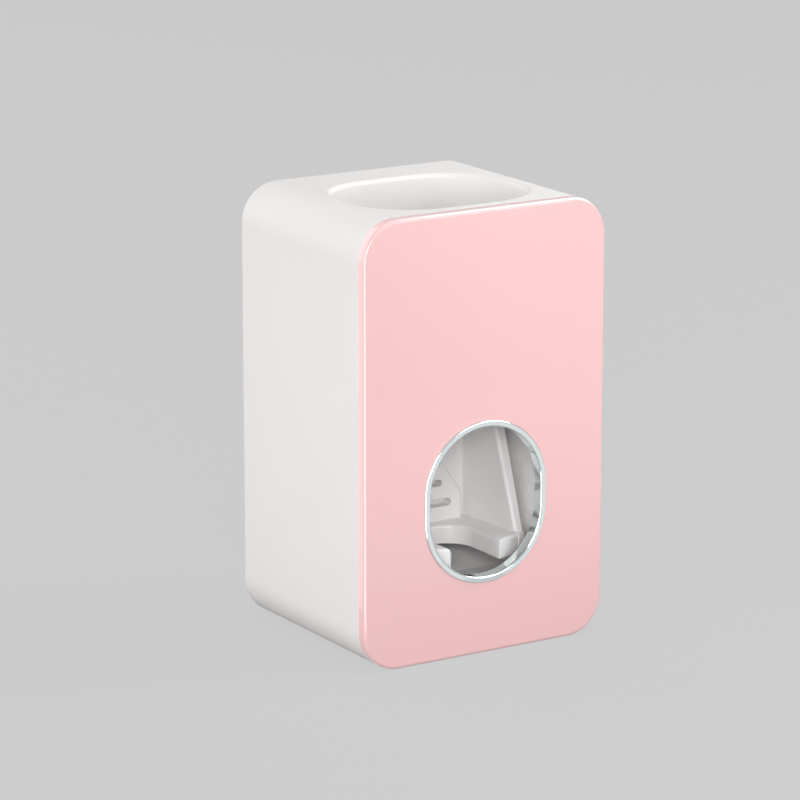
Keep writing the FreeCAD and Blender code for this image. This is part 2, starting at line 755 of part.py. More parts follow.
def pin_clips():
    """Two open retaining rings in the grooves of the pin."""
    start = clip_inner_x()
    ring = rod(clip_radius, Vector(start, pivot_y, pivot_z), x_axis, clip_thickness)
    neck_radius = pin_radius - pin_groove_depth + clip_groove_gap
    neck = rod(neck_radius, Vector(start - overrun, pivot_y, pivot_z), x_axis, clip_thickness + 2 * overrun)
    ring = ring.cut(neck)
    mouth_half = clip_mouth / 2
    mouth = box(start - overrun, start + clip_thickness + overrun, pivot_y - mouth_half, pivot_y + mouth_half,
                pivot_z - clip_radius - overrun, pivot_z)
    ring = ring.cut(mouth)
    return Part.makeCompound([ring, mirrored_copy(ring)])


def arc_middle(start, tangent, end):
    """Middle point of the arc that leaves start along a tangent and reaches end."""
    chord = end - start
    along = Vector(chord).normalize()
    sideways = tangent - along * tangent.dot(along)
    turn = tangent.getAngle(along)
    rise = chord.Length / 2 * math.tan(turn / 2)
    return start + chord * 0.5 + sideways.normalize() * rise


def biarc(start, start_tangent, end, end_tangent):
    """Two arcs that join two points and two tangents smoothly."""
    span = end - start
    total = start_tangent + end_tangent
    turn = 2 * (1 - start_tangent.dot(end_tangent))
    reach = (math.sqrt(span.dot(total) ** 2 + turn * span.dot(span)) - span.dot(total)) / turn
    joint = (start + end + (start_tangent - end_tangent) * reach) * 0.5
    first = Part.Arc(start, arc_middle(start, start_tangent, joint), joint)
    second = Part.Arc(joint, arc_middle(end, -end_tangent, joint), end)
    return [first.toShape(), second.toShape()]


def return_spring():
    """Coil between the lever's back and the frame's back wall, one unbroken wire."""
    margin = spring_wire_radius + spring_end_gap
    start_y = lever_back_y + margin
    end_y = frame_back_wall_y - margin
    quarters = 4 * spring_turns
    pitch_angle_run = (end_y - start_y) / (2 * math.pi * spring_turns)

    def on_coil(index):
        angle = index * math.pi / 2
        across = spring_mean_radius * math.cos(angle)
        up = spring_mean_radius * math.sin(angle)
        point = Vector(across, start_y + pitch_angle_run * angle, spring_z + up)
        return point, Vector(-up, pitch_angle_run, across).normalize()

    edges = []
    for index in range(quarters):
        point, tangent = on_coil(index)
        following, following_tangent = on_coil(index + 1)
        edges += biarc(point, tangent, following, following_tangent)
    point, tangent = on_coil(0)
    section = Part.Wire([Part.makeCircle(spring_wire_radius, point, tangent)])
    print("spring turns clear each other by", 2 * math.pi * pitch_angle_run - 2 * spring_wire_radius, "mm")
    return Part.Wire(edges).makePipeShell([section], True, False)


def pump_body():
    """Chamber along Y with an inlet column above, an outlet pipe below and wings that sit on the frame."""
    chamber = rod(chamber_outer_radius, Vector(0, chamber_front_y - chamber_wall, chamber_z), y_axis,
                  chamber_back_y - chamber_front_y + chamber_wall)
    flange = rod(pump_flange_radius, Vector(0, chamber_back_y, chamber_z), -y_axis, pump_flange_thickness)
    column = rod(column_radius, Vector(0, neck_y, chamber_z), z_axis, column_top_z - chamber_z)
    rim = rod(column_radius + column_rim, Vector(0, neck_y, column_top_z), -z_axis, column_rim_thickness)
    pipe = rod(outlet_radius + outlet_wall, Vector(0, outlet_y, outlet_bottom_z), z_axis, outlet_drop)
    wing = flat_prism(boss_x + wing_end_margin, wing_half_depth, wing_corner_radius, boss_y,
                      frame_top_z, wing_top_z)
    pump = chamber.fuse([flange, column, rim, pipe, wing])
    bore = rod(chamber_radius, Vector(0, chamber_front_y, chamber_z), y_axis,
               chamber_back_y - chamber_front_y + overrun)
    pocket = rod(seal_radius + fit_gap, Vector(0, neck_y, pocket_floor_z), z_axis,
                 column_top_z - pocket_floor_z + overrun)
    port = rod(inlet_port_radius, Vector(0, neck_y, chamber_z), z_axis, pocket_floor_z - chamber_z + overrun)
    drain = rod(outlet_radius, Vector(0, outlet_y, outlet_bottom_z - overrun), z_axis, outlet_drop + overrun)
    pump = pump.cut(bore).cut(pocket).cut(port).cut(drain)
    for x_sign in side_signs:
        hole = rod(screw_radius + screw_hole_gap, Vector(x_sign * boss_x, boss_y, frame_top_z - overrun),
                   z_axis, wing_thickness + 2 * overrun)
        pump = pump.cut(hole)
    return pump.removeSplitter()


def inlet_seal():
    """Silicone socket that grips the neck of the tube."""
    profile = [(seal_orifice_radius, valve_top_z), (seal_radius, valve_top_z), (seal_radius, column_top_z),
               (seal_flange_radius, column_top_z), (seal_flange_radius, seal_top_z),
               (seal_bore_radius + seal_lead_in, seal_top_z), (seal_bore_radius, seal_top_z - seal_lead_in),
               (seal_bore_radius, valve_top_z + seal_floor), (seal_orifice_radius, valve_top_z + seal_floor)]
    return upright_turning(profile, 0, neck_y)


def inlet_valve():
    """Thin disc under the seal with a flap cut in it by an open ring slit."""
    centre = Vector(0, neck_y, pocket_floor_z)
    disc = rod(seal_radius, centre, z_axis, valve_thickness)
    lower = centre - z_axis * overrun
    height = valve_thickness + 2 * overrun
    slit = rod(valve_flap_radius, lower, z_axis, height)
    slit = slit.cut(rod(valve_flap_radius - valve_slit, lower, z_axis, height))
    hinge = Part.makeCylinder(valve_flap_radius + overrun, height, lower, z_axis, valve_hinge_angle)
    return disc.cut(slit.cut(hinge))


def pump_bellows():
    """Silicone bellows: flange, folded wall and closed end."""
    root = bellows_root_radius
    crest = bellows_crest_radius
    fold = (bellows_length - bellows_cap_thickness) / bellows_folds
    outside = [(crest, bellows_y)]
    inside = [(crest - bellows_skin, chamber_back_y)]
    for index in range(bellows_folds):
        middle = bellows_y + fold * (index + 0.5)
        end = bellows_y + fold * (index + 1)
        outside += [(root, middle), (crest, end)]
        inside += [(root - bellows_skin, middle), (crest - bellows_skin, end - bellows_skin / 2)]
    outside[-1] = (root, bellows_end_y - bellows_cap_thickness)
    inside[-1] = (root - bellows_skin, bellows_end_y - bellows_cap_thickness)
    profile = [(pump_flange_radius, chamber_back_y), (pump_flange_radius, bellows_y)] + outside
    profile += [(root, bellows_end_y), (0, bellows_end_y), (0, bellows_end_y - bellows_cap_thickness)]
    profile += inside[::-1]
    return level_turning(profile, chamber_z)


def bellows_ring():
    """Snap ring that clamps the bellows to the pump's flange."""
    lip_radius = bellows_crest_radius + clamp_lip_gap
    hook_y = chamber_back_y - pump_flange_thickness - fit_gap
    back = bellows_y + clamp_lip
    front = hook_y - clamp_wall
    profile = [(clamp_inner_radius, bellows_y), (lip_radius, bellows_y), (lip_radius, back),
               (clamp_outer_radius, back), (clamp_outer_radius, front), (clamp_inner_radius, front),
               (clamp_inner_radius - clamp_hook, hook_y), (clamp_inner_radius, hook_y)]
    return level_turning(profile, chamber_z)


def pump_plunger():
    """Hard cap on the end of the bellows, pressed by the bar of the lever."""
    hug = bellows_root_radius + fit_gap
    outer = hug + plunger_skirt
    profile = [(0, bellows_end_y), (hug, bellows_end_y), (hug, bellows_end_y - plunger_skirt_length),
               (outer, bellows_end_y - plunger_skirt_length), (outer, plunger_back_y), (0, plunger_back_y)]
    return level_turning(profile, chamber_z)


def outlet_cap():
    """Cap that holds the duckbill on the outlet pipe."""
    hug = outlet_radius + outlet_wall + fit_gap
    outer = hug + cap_wall
    mouth = duckbill_radius + cap_mouth_gap
    ledge_z = outlet_bottom_z - duckbill_flange_thickness
    top_z = outlet_bottom_z + cap_grip_length
    bottom_z = ledge_z - cap_nose
    profile = [(hug, top_z), (hug, ledge_z), (mouth, ledge_z), (mouth, bottom_z),
               (outer - cap_wall, bottom_z), (outer, bottom_z + cap_wall), (outer, top_z)]
    return upright_turning(profile, 0, outlet_y)


def outlet_valve():
    """Silicone duckbill: flange, round throat and a flat bill with a slit."""
    top_z = outlet_bottom_z
    throat_z = top_z - duckbill_flange_thickness - duckbill_throat_length
    tip_z = throat_z - duckbill_tip_length
    flange = rod(outlet_radius + outlet_wall, Vector(0, outlet_y, top_z), -z_axis, duckbill_flange_thickness)
    throat = rod(duckbill_radius, Vector(0, outlet_y, throat_z), z_axis, top_z - throat_z)
    half = duckbill_radius - duckbill_slit
    upper = flat_outline(half, half, half - duckbill_slit / 2, outlet_y, throat_z)
    lower = flat_outline(half, duckbill_tip_half, duckbill_tip_half - duckbill_slit, outlet_y, tip_z)
    valve = flange.fuse([throat, Part.makeLoft([upper, lower], True, True)])
    channel = rod(duckbill_radius - duckbill_wall, Vector(0, outlet_y, throat_z), z_axis,
                  top_z - throat_z + overrun)
    slit_half = duckbill_slit / 2
    slit = box(-duckbill_radius / 2, duckbill_radius / 2, outlet_y - slit_half, outlet_y + slit_half,
               tip_z - overrun, throat_z + duckbill_slit)
    return valve.cut(channel).cut(slit).removeSplitter()


def tube_cradle():
    """Funnel under the well that leads the tube's neck into the seal."""
    rim_z = collar_bottom_z - cradle_rim_gap
    floor_half = seal_flange_radius + cradle_floor_land
    floor_corner = floor_half - cradle_floor_flat

    def funnel(grow, z_low):
        upper = flat_outline(well_half_width + grow, well_half_depth + grow, well_corner_radius + grow,
                             well_y, rim_z)
        lower = flat_outline(floor_half + grow, floor_half + grow, floor_corner + grow, neck_y, z_low)
        return Part.makeLoft([upper, lower], True, True)

    hole = rod(seal_flange_radius + fit_gap, Vector(0, neck_y, column_top_z - overrun), z_axis,
               seal_flange_thickness + 2 * overrun)
    return funnel(cradle_wall, column_top_z).cut(funnel(0, seal_top_z)).cut(hole)


def pieces():
    """Every node of the assembly by name."""
    boss_places = [(x_sign * boss_x, boss_y) for x_sign in side_signs]
    return {
        "housing_shell": housing_shell(),
        "front_panel": front_panel(),
        "window_ring": window_ring(),
        "ring_retainer": ring_retainer(),
        "inner_frame": inner_frame(),
        "frame_screws": screws(screw_post_places(), frame_floor_z, frame_screw_length),
        "push_lever": push_lever(),
        "lever_pin": lever_pin(),
        "pin_clips": pin_clips(),
        "return_spring": return_spring(),
        "pump_body": pump_body(),
        "pump_screws": screws(boss_places, wing_top_z, pump_screw_length),
        "inlet_seal": inlet_seal(),
        "inlet_valve": inlet_valve(),
        "pump_bellows": pump_bellows(),
        "bellows_ring": bellows_ring(),
        "pump_plunger": pump_plunger(),
        "outlet_cap": outlet_cap(),
        "outlet_valve": outlet_valve(),
        "tube_cradle": tube_cradle(),
    }


def main():
    os.makedirs("parts", exist_ok=True)
    for name, shape in pieces().items():
        print(name, "solids", len(shape.Solids), "valid", shape.isValid(), "volume", round(shape.Volume, 2))
        shape.exportStep("parts/" + name + ".step")


if __name__ == "__main__":
    main()
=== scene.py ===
import json
import math

import bpy
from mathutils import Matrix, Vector


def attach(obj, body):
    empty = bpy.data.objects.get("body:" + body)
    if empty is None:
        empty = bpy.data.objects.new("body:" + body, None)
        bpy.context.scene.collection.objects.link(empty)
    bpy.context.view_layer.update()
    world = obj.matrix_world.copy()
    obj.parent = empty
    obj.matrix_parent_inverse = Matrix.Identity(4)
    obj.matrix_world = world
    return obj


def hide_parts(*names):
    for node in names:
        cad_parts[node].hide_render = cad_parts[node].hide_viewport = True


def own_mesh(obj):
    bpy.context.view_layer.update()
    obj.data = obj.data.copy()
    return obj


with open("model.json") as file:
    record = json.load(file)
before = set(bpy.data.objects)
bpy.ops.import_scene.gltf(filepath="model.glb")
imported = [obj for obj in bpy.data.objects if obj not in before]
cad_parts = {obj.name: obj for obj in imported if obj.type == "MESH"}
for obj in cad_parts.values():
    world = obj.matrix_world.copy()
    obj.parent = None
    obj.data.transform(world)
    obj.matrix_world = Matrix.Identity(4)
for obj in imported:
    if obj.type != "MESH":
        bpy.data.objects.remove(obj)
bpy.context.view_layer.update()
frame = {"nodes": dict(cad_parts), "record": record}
nodes = frame["nodes"]
mm = 0.001  # in metres, the unit of the frame
upright = Vector((0, 0, 1))
backward = Vector((0, 1, 0))
print("frame loaded:", len(nodes), "nodes")


# colours and nodes

def linearColour(hexText):
    channels = [int(hexText[i:i + 2], 16) / 255 for i in (1, 3, 5)]
    linear = [c / 12.92 if c <= 0.04045 else ((c + 0.055) / 1.055) ** 2.4 for c in channels]
    return (*linear, 1.0)


def addNode(tree, kind, settings=None, links=None):
    node = tree.nodes.new(kind)
    for name, value in (settings or {}).items():
        if isinstance(name, int) or name in node.inputs:
            node.inputs[name].default_value = value
        else:
            setattr(node, name, value)
    for name, source in (links or {}).items():
        tree.links.new(source, node.inputs[name])
    return node


def newMaterial(name):
    material = bpy.data.materials.new(name)
    material.use_nodes = True
    tree = material.node_tree
    return material, tree, tree.nodes["Principled BSDF"]


# every finish has slow clouds and a fine grain, and its gloss follows the middle of the clouds' range
finishNoise = {"clouds": {"Detail": 3.0, "Roughness": 0.5}, "grain": {"Detail": 2.0, "Roughness": 0.6},
               "glossFrom": 0.3, "glossTo": 0.7}


# a moulded or painted surface: slow tone change, fine relief and uneven gloss
def surfaceFinish(look):
    material, tree, shader = newMaterial(look["name"])
    place = addNode(tree, "ShaderNodeTexCoord").outputs["Object"]
    if "stretch" in look:
        stretched = addNode(tree, "ShaderNodeMapping", {"Scale": look["stretch"]}, {"Vector": place})
        place = stretched.outputs["Vector"]
    clouds = addNode(tree, "ShaderNodeTexNoise",
                     {"Scale": 1 / (look["cloudMm"] * mm), **finishNoise["clouds"]}, {"Vector": place})
    grain = addNode(tree, "ShaderNodeTexNoise",
                    {"Scale": 1 / (look["grainMm"] * mm), **finishNoise["grain"]}, {"Vector": place})
    # a colour Mix has its two colours in sockets 6 and 7, and the mixed one in output 2
    tone = addNode(tree, "ShaderNodeMix",
                   {"data_type": "RGBA", 6: linearColour(look["colour"]), 7: linearColour(look["shade"])},
                   {0: clouds.outputs["Fac"]})
    low, high = look["roughness"]
    gloss = addNode(tree, "ShaderNodeMapRange",
                    {"From Min": finishNoise["glossFrom"], "From Max": finishNoise["glossTo"],
                     "To Min": low, "To Max": high},
                    {"Value": clouds.outputs["Fac"]})
    relief = addNode(tree, "ShaderNodeBump",
                     {"Strength": look["reliefStrength"], "Distance": look["reliefMm"] * mm},
                     {"Height": grain.outputs["Fac"]})
    for socket, value in look.get("shader", {}).items():
        shader.inputs[socket].default_value = value
    tree.links.new(tone.outputs[2], shader.inputs["Base Color"])
    tree.links.new(gloss.outputs["Result"], shader.inputs["Roughness"])
    tree.links.new(relief.outputs["Normal"], shader.inputs["Normal"])
    return material


# white ABS, injection moulded in a spark-eroded tool: soft satin, a trace of warm tone.
# The real grain is about 0.1 mm and too fine to show, so it is drawn at 0.45 mm and very shallow.
whiteShell = surfaceFinish({
    "name": "whiteAbsSatinMoulded", "colour": "#EBE8E6", "shade": "#E7E4E2", "cloudMm": 34, "grainMm": 0.45,
    "roughness": (0.50, 0.60), "reliefStrength": 0.10, "reliefMm": 0.01,
    "shader": {"IOR": 1.53},
})

# the same ABS from a polished tool for the inner mouldings: a little smoother, and drawn lighter than the
# shell as painted light, so that the shaded cavity behind the window looks brighter
whiteInnerPaintedLight = surfaceFinish({
    "name": "whiteAbsInnerPaintedLight", "colour": "#F5F3F2", "shade": "#F1EFEE", "cloudMm": 22, "grainMm": 0.6,
    "roughness": (0.32, 0.42), "reliefStrength": 0.07, "reliefMm": 0.01,
    "shader": {"IOR": 1.53},
})

# pale pink gloss lacquer over ABS: a clear top coat with a faint orange peel, 2.5 mm from crest to crest
pinkPanel = surfaceFinish({
    "name": "pinkLacquerOverAbs", "colour": "#FACACA", "shade": "#F8C7C7", "cloudMm": 60, "grainMm": 2.5,
    "roughness": (0.28, 0.34), "reliefStrength": 0.03, "reliefMm": 0.01,
    "shader": {"IOR": 1.50, "Coat Weight": 1.0, "Coat Roughness": 0.08, "Coat IOR": 1.50},
})

# bright chromium plate over moulded plastic: mirror with a faint blue cast and a soft polish haze
chromePlate = surfaceFinish({
    "name": "brightChromePlate", "colour": "#F0F8F8", "shade": "#EAF3F4", "cloudMm": 12, "grainMm": 3.0,
    "roughness": (0.04, 0.08), "reliefStrength": 0.02, "reliefMm": 0.01,
    "shader": {"Metallic": 1.0},
})

# natural polypropylene: milky, waxy, with flow marks that run from front to back
milkyPlastic = surfaceFinish({
    "name": "naturalPolypropylene", "colour": "#E0DFDA", "shade": "#D5D4CE", "cloudMm": 9, "grainMm": 0.8,
    "stretch": (1.0, 0.35, 1.0), "roughness": (0.34, 0.46), "reliefStrength": 0.08, "reliefMm": 0.01,
    "shader": {"IOR": 1.49, "Subsurface Weight": 0.15, "Subsurface Radius": (0.002, 0.002, 0.0018),
               "Subsurface Scale": 1.0},
})

# translucent liquid silicone rubber: soft, slightly frosted, light goes some way in
softSilicone = surfaceFinish({
    "name": "translucentSilicone", "colour": "#E1E3E0", "shade": "#D6D9D6", "cloudMm": 6, "grainMm": 0.4,
    "roughness": (0.46, 0.58), "reliefStrength": 0.10, "reliefMm": 0.01,
    "shader": {"IOR": 1.41, "Subsurface Weight": 0.25, "Subsurface Radius": (0.003, 0.003, 0.0028),
               "Subsurface Scale": 1.0},
})

# bright zinc plate on steel: grey with a cloudy, slightly blue passivation
zincSteel = surfaceFinish({
    "name": "zincPlatedSteel", "colour": "#BFC3C8", "shade": "#A9AEB6", "cloudMm": 1.6, "grainMm": 0.3,
    "roughness": (0.24, 0.38), "reliefStrength": 0.12, "reliefMm": 0.008,
    "shader": {"Metallic": 1.0},
})

# drawn and oiled spring steel: darker, with fine draw lines from left to right
drawnSteel = surfaceFinish({
    "name": "drawnSpringSteel", "colour": "#AEB0B4", "shade": "#989AA0", "cloudMm": 2.0, "grainMm": 0.25,
    "stretch": (0.25, 1.0, 1.0), "roughness": (0.20, 0.32), "reliefStrength": 0.10, "reliefMm": 0.008,
    "shader": {"Metallic": 1.0},
})
print("materials made:", len(bpy.data.materials))

slotFinish = {
    "white_shell": whiteShell, "white_inner": whiteInnerPaintedLight, "pink_panel": pinkPanel,
    "plated_ring": chromePlate, "natural_plastic": milkyPlastic, "silicone": softSilicone,
    "screw_steel": zincSteel, "spring_steel": drawnSteel,
}
for subpart in frame["record"]["subparts"]:
    node = nodes[subpart["node"]]
    node.data.materials.clear()
    node.data.materials.append(slotFinish[subpart["material_slot"]])
print("finishes on CAD nodes")


# modelling helpers

meshCare = {"mergeMm": 0.002, "smoothDegrees": 35, "edgeSegments": 2, "levelNormal": 0.9}


def deselectAll():
    bpy.ops.object.select_all(action="DESELECT")


def activate(piece):
    deselectAll()
    piece.select_set(True)
    bpy.context.view_layer.objects.active = piece


# takes up the primitive that was just added and puts its place into its mesh
def newPiece(name):
    piece = bpy.context.object
    piece.name = name
    bpy.ops.object.transform_apply(location=True, rotation=True, scale=True)
    return piece


def applyModifier(piece, kind, **settings):
    activate(piece)
    modifier = piece.modifiers.new(kind.title(), kind)
    for name, value in settings.items():
        setattr(modifier, name, value)
    bpy.ops.object.modifier_apply(modifier=modifier.name)


def roundEdges(piece, widthMm, overDegrees=30):
    applyModifier(piece, "BEVEL", width=widthMm * mm, segments=meshCare["edgeSegments"], limit_method="ANGLE",
                  angle_limit=math.radians(overDegrees))


def facesUp(face):
    return face.normal.z > meshCare["levelNormal"]


def facesDown(face):
    return face.normal.z < -meshCare["levelNormal"]


def pickFaces(piece, wanted):
    bpy.ops.object.mode_set(mode="EDIT")
    bpy.ops.mesh.select_mode(type="FACE")
    bpy.ops.mesh.select_all(action="DESELECT")
    bpy.ops.object.mode_set(mode="OBJECT")
    for face in piece.data.polygons:
        face.select = wanted(face)
    bpy.ops.object.mode_set(mode="EDIT")


def cleanMesh(piece):
    activate(piece)
    bpy.ops.object.mode_set(mode="EDIT")
    bpy.ops.mesh.select_all(action="SELECT")
    bpy.ops.mesh.remove_doubles(threshold=meshCare["mergeMm"] * mm)
    bpy.ops.mesh.normals_make_consistent(inside=False)
    bpy.ops.object.mode_set(mode="OBJECT")


def finishPiece(piece, body, slotName, *stoodFor, squash=None):
    activate(piece)
    bpy.ops.object.shade_smooth_by_angle(angle=math.radians(meshCare["smoothDegrees"]))
    piece.data.materials.clear()
    piece.data.materials.append(slotFinish[slotName])
    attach(piece, body)
    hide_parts(*stoodFor)
    if squash:
        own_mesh(piece)


def startRing(name, axis, centre, radius, along, segments):
    deselectAll()
    turn = (0, 0, 0) if axis == upright else (-math.pi / 2, 0, 0)
    bpy.ops.mesh.primitive_circle_add(vertices=segments, radius=radius * mm,
                                      location=(centre + axis * along) * mm, rotation=turn)
    piece = newPiece(name)
    bpy.ops.object.mode_set(mode="EDIT")
    bpy.ops.mesh.select_all(action="SELECT")
    return piece


# the ring is drawn out along its axis and scaled at every step, as on a lathe;
# a profile holds a radius and a place along the axis for each step
def drawProfile(axis, centre, profile):
    for (fromRadius, fromAlong), (toRadius, toAlong) in zip(profile, profile[1:]):
        rise = axis * (toAlong - fromAlong) * mm
        bpy.ops.mesh.extrude_region_move(TRANSFORM_OT_translate={"value": rise})
        grow = toRadius / fromRadius
        scale = (grow, grow, 1) if axis == upright else (grow, 1, grow)
        bpy.ops.transform.resize(value=scale, center_override=(centre + axis * toAlong) * mm)


def turnedPiece(name, axis, centre, profile, segments, pole=False):
    piece = startRing(name, axis, centre, *profile[0], segments)
    drawProfile(axis, centre, profile)
    if pole:
        bpy.ops.mesh.merge(type="CENTER")
    bpy.ops.object.mode_set(mode="OBJECT")
    cleanMesh(piece)
    return piece


# coil of wire, for the spring and for the threads of the screws
def woundCoil(name, axisName, coil):
    deselectAll()
    spot = (coil["mean"], coil["start"], 0) if axisName == "Y" else (coil["mean"], 0, coil["start"])
    turn = (0, 0, 0) if axisName == "Y" else (math.pi / 2, 0, 0)
    bpy.ops.mesh.primitive_circle_add(vertices=coil["wireSides"], radius=coil["wire"] * mm,
                                      location=Vector(spot) * mm, rotation=turn)
    piece = newPiece(name)
    applyModifier(piece, "SCREW", axis=axisName, angle=-2 * math.pi, screw_offset=coil["pitch"] * mm,
                  iterations=coil["turns"], steps=coil["steps"], render_steps=coil["steps"],
                  use_merge_vertices=False)
    bpy.ops.object.mode_set(mode="EDIT")
    bpy.ops.mesh.select_all(action="SELECT")
    bpy.ops.mesh.fill_holes(sides=coil["wireSides"])
    bpy.ops.mesh.select_all(action="SELECT")
    bpy.ops.transform.translate(value=(0, 0, coil["height"] * mm))
    bpy.ops.object.mode_set(mode="OBJECT")
    cleanMesh(piece)
    return piece


# return spring between the lever and the frame's back wall
springLook = {"wireSides": 14, "wire": 0.4, "mean": 3.6, "start": 2.9, "pitch": 1.92, "turns": 5, "steps": 40,
              "height": 46.0, "seatY": 13.0, "keep": 0.53}
spring = woundCoil("returnSpring", "Y", springLook)
finishPiece(spring, "housing", "spring_steel", "return_spring",
            squash={"anchor": (0, springLook["seatY"] * mm, springLook["height"] * mm),
                    "keep": springLook["keep"]})
print("spring wound")

# pump bellows: a clamped flange and folds
bellowsLook = {"centre": Vector((0, 0, 86.0)), "wall": 0.9, "edgeRound": 0.2, "segments": 72,
               "seatY": 12.5, "keep": 0.51,
               "flange": [(7.0, 11.0), (10.5, 11.0), (10.5, 12.5), (7.0, 12.5), (7.0, 11.0)],
               "folds": [(7.7, 12.5), (8.0, 12.75), (8.0, 13.05), (6.4, 13.95), (6.2, 14.25), (6.4, 14.55),
                         (7.9, 15.7), (8.05, 16.0), (7.9, 16.3), (6.4, 17.45), (6.2, 17.75), (6.2, 18.2),
                         (6.2, 20.2), (5.95, 20.45), (5.5, 20.5), (2.0, 20.5), (0.6, 20.5)]}
flange = turnedPiece("bellowsFlange", backward, bellowsLook["centre"], bellowsLook["flange"],
                     bellowsLook["segments"])
roundEdges(flange, bellowsLook["edgeRound"])
finishPiece(flange, "housing", "silicone", "pump_bellows")
folds = turnedPiece("bellowsFolds", backward, bellowsLook["centre"], bellowsLook["folds"],
                    bellowsLook["segments"], pole=True)
applyModifier(folds, "SOLIDIFY", thickness=bellowsLook["wall"] * mm, offset=-1)
applyModifier(folds, "SUBSURF", levels=1, render_levels=1)
finishPiece(folds, "housing", "silicone", "pump_bellows",
            squash={"anchor": (0, bellowsLook["seatY"] * mm, bellowsLook["centre"].z * mm),
                    "keep": bellowsLook["keep"]})
print("bellows made")

# silicone socket for the tube neck, with three shallow sealing grooves in its bore
sealLook = {"centre": Vector((0, -3.8, 0)), "floor": 93.5, "floorTop": 95.5, "shoulder": 103.5, "top": 105.5,
            "hole": 4.2, "body": 8.5, "flange": 10.8, "mouth": 7.5, "mouthDepth": 1.0, "bore": 6.5,
            "grooveTops": (103.4, 100.9, 98.4), "grooveHeight": 1.0, "grooveDepth": 0.35,
            "grooveSlope": 0.25, "edgeRound": 0.2, "roundOver": 35, "segments": 96}
sealProfile = [(sealLook["hole"], sealLook["floor"]), (sealLook["body"], sealLook["floor"]),
               (sealLook["body"], sealLook["shoulder"]), (sealLook["flange"], sealLook["shoulder"]),
               (sealLook["flange"], sealLook["top"]), (sealLook["mouth"], sealLook["top"]),
               (sealLook["bore"], sealLook["top"] - sealLook["mouthDepth"])]
grooveRadius = sealLook["bore"] + sealLook["grooveDepth"]
for grooveTop in sealLook["grooveTops"]:
    grooveFoot = grooveTop - sealLook["grooveHeight"]
    sealProfile += [(sealLook["bore"], grooveTop), (grooveRadius, grooveTop - sealLook["grooveSlope"]),
                    (grooveRadius, grooveFoot + sealLook["grooveSlope"]), (sealLook["bore"], grooveFoot)]
sealProfile += [(sealLook["bore"], sealLook["floorTop"]), (sealLook["hole"], sealLook["floorTop"]),
                sealProfile[0]]
seal = turnedPiece("inletSeal", upright, sealLook["centre"], sealProfile, sealLook["segments"])
roundEdges(seal, sealLook["edgeRound"], sealLook["roundOver"])
finishPiece(seal, "housing", "silicone", "inlet_seal")
print("seal made")

# flap valve under the seal: a disc with an open ring slit that leaves a hinge
valveLook = {"centre": Vector((0, -3.8, 0)), "radius": 8.5, "low": 92.5, "high": 93.5, "slitOuter": 4.6,
             "slitInner": 4.1, "slitCut": 3, "slitSteps": 58, "hingeDegrees": 70, "edgeRound": 0.12,
             "segments": 96}
valveY = valveLook["centre"].y * mm
valveMiddle = (valveLook["low"] + valveLook["high"]) / 2 * mm
slitMiddle = (valveLook["slitOuter"] + valveLook["slitInner"]) / 2 * mm
deselectAll()
bpy.ops.mesh.primitive_cylinder_add(vertices=valveLook["segments"], radius=valveLook["radius"] * mm,
                                    depth=(valveLook["high"] - valveLook["low"]) * mm,
                                    location=(0, valveY, valveMiddle))
valve = newPiece("inletValve")
deselectAll()
bpy.ops.mesh.primitive_plane_add(size=1 * mm, location=(slitMiddle, valveY, valveMiddle),
                                 rotation=(math.pi / 2, 0, 0))
bpy.ops.transform.resize(value=(valveLook["slitOuter"] - valveLook["slitInner"], 1, valveLook["slitCut"]))
slitCutter = newPiece("slitCutter")
bpy.ops.object.mode_set(mode="EDIT")
bpy.ops.mesh.select_all(action="SELECT")
bpy.ops.mesh.spin(steps=valveLook["slitSteps"], angle=math.radians(360 - valveLook["hingeDegrees"]),
                  center=valveLook["centre"] * mm, axis=(0, 0, 1))
bpy.ops.object.mode_set(mode="OBJECT")
cleanMesh(slitCutter)
applyModifier(valve, "BOOLEAN", object=slitCutter, operation="DIFFERENCE", solver="EXACT")
bpy.data.objects.remove(slitCutter)
roundEdges(valve, valveLook["edgeRound"])
finishPiece(valve, "housing", "silicone", "inlet_valve")
print("flap valve made")

# duckbill in the outlet: flange and throat are round, the bill is pressed flat to a slit
duckbillLook = {"centre": Vector((0, -12.8, 0)), "top": 68.0, "ledge": 66.5, "throat": 64.0, "tip": 60.8,
                "flange": 6.0, "throatRadius": 4.0, "bore": 3.2, "billHalf": 0.9, "slitHalf": 0.12,
                "billWide": 0.94, "slitWide": 0.82, "edgeRound": 0.15, "roundOver": 40, "segments": 72}


def pressedDuckbill(name, look):
    centre = look["centre"]
    tipSpot = (centre + upright * look["tip"]) * mm
    throatSpot = (centre + upright * look["throat"]) * mm
    billDrop = upright * (look["tip"] - look["throat"]) * mm
    boreGrow = look["bore"] / (look["throatRadius"] * look["billWide"] * look["slitWide"])
    piece = startRing(name, upright, centre, look["flange"], look["top"], look["segments"])
    drawProfile(upright, centre, [(look["flange"], look["top"]), (look["flange"], look["ledge"]),
                                  (look["throatRadius"], look["ledge"]),
                                  (look["throatRadius"], look["throat"])])
    bpy.ops.mesh.extrude_region_move(TRANSFORM_OT_translate={"value": billDrop})
    bpy.ops.transform.resize(value=(look["billWide"], look["billHalf"] / look["throatRadius"], 1),
                             center_override=tipSpot)
    bpy.ops.mesh.extrude_region_move(TRANSFORM_OT_translate={"value": (0, 0, 0)})
    bpy.ops.transform.resize(value=(look["slitWide"], look["slitHalf"] / look["billHalf"], 1),
                             center_override=tipSpot)
    bpy.ops.mesh.extrude_region_move(TRANSFORM_OT_translate={"value": -billDrop})
    bpy.ops.transform.resize(value=(boreGrow, look["bore"] / look["slitHalf"], 1), center_override=throatSpot)
    drawProfile(upright, centre, [(look["bore"], look["throat"]), (look["bore"], look["top"]),
                                  (look["flange"], look["top"])])
    bpy.ops.object.mode_set(mode="OBJECT")
    cleanMesh(piece)
    return piece


